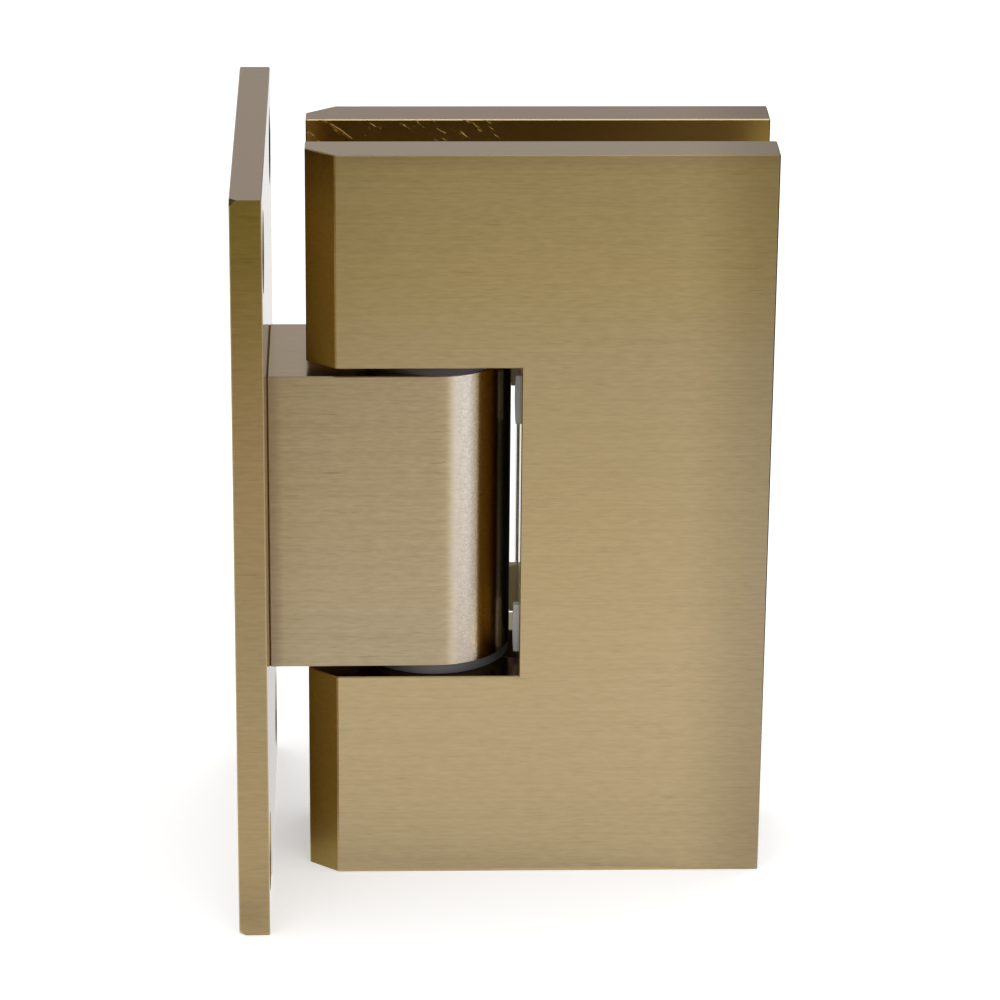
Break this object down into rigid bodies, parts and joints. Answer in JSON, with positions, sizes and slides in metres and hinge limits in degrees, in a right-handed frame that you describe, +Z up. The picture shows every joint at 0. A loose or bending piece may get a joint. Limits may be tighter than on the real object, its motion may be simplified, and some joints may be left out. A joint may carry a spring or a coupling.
{
  "type": "shower door hinge",
  "caption": "Glass-to-wall shower door hinge: a notched clamp for the glass swings both ways about a round-ended knuckle that stands on a flat wall plate, in brushed brass.",
  "frame": {"origin": "centre of the wall plate's face that lies on the wall", "axes": "+X away from the wall towards the glass, +Z up along the pivot axis, -Y on the side of the front plate"},
  "size_m": [0.062, 0.052, 0.09],
  "materials": {
    "brushed_brass": "satin, brushed along the wall's normal",
    "plated_screws": "satin, turned",
    "steel_screws": "zinc plated",
    "pin_steel": "ground",
    "spring_steel": "blued strip",
    "washer_plastic": "moulded",
    "bush_plastic": "moulded",
    "gasket": "milky, soft"
  },
  "bodies": {
    "wall_side": {"wall_plate": "brushed_brass", "knuckle_block": "brushed_brass", "block_screws": "steel_screws", "upper_bush": "bush_plastic", "lower_bush": "bush_plastic", "upper_washer": "washer_plastic", "lower_washer": "washer_plastic", "detent_spring": "spring_steel"},
    "door_side": {"pivot_pin": "pin_steel", "front_plate": "brushed_brass", "rear_plate": "brushed_brass", "front_gasket": "gasket", "rear_gasket": "gasket", "pin_screws": "steel_screws", "clamp_screws": "plated_screws"}
  },
  "joints": [
    {"name": "door_swing", "type": "hinge", "parent": "wall_side", "child": "door_side", "pos_m": [0.02295, 0, 0], "axis": [0, 0, 1], "range_deg": [-90, 90], "deforming": ["detent_spring"]}
  ]
}
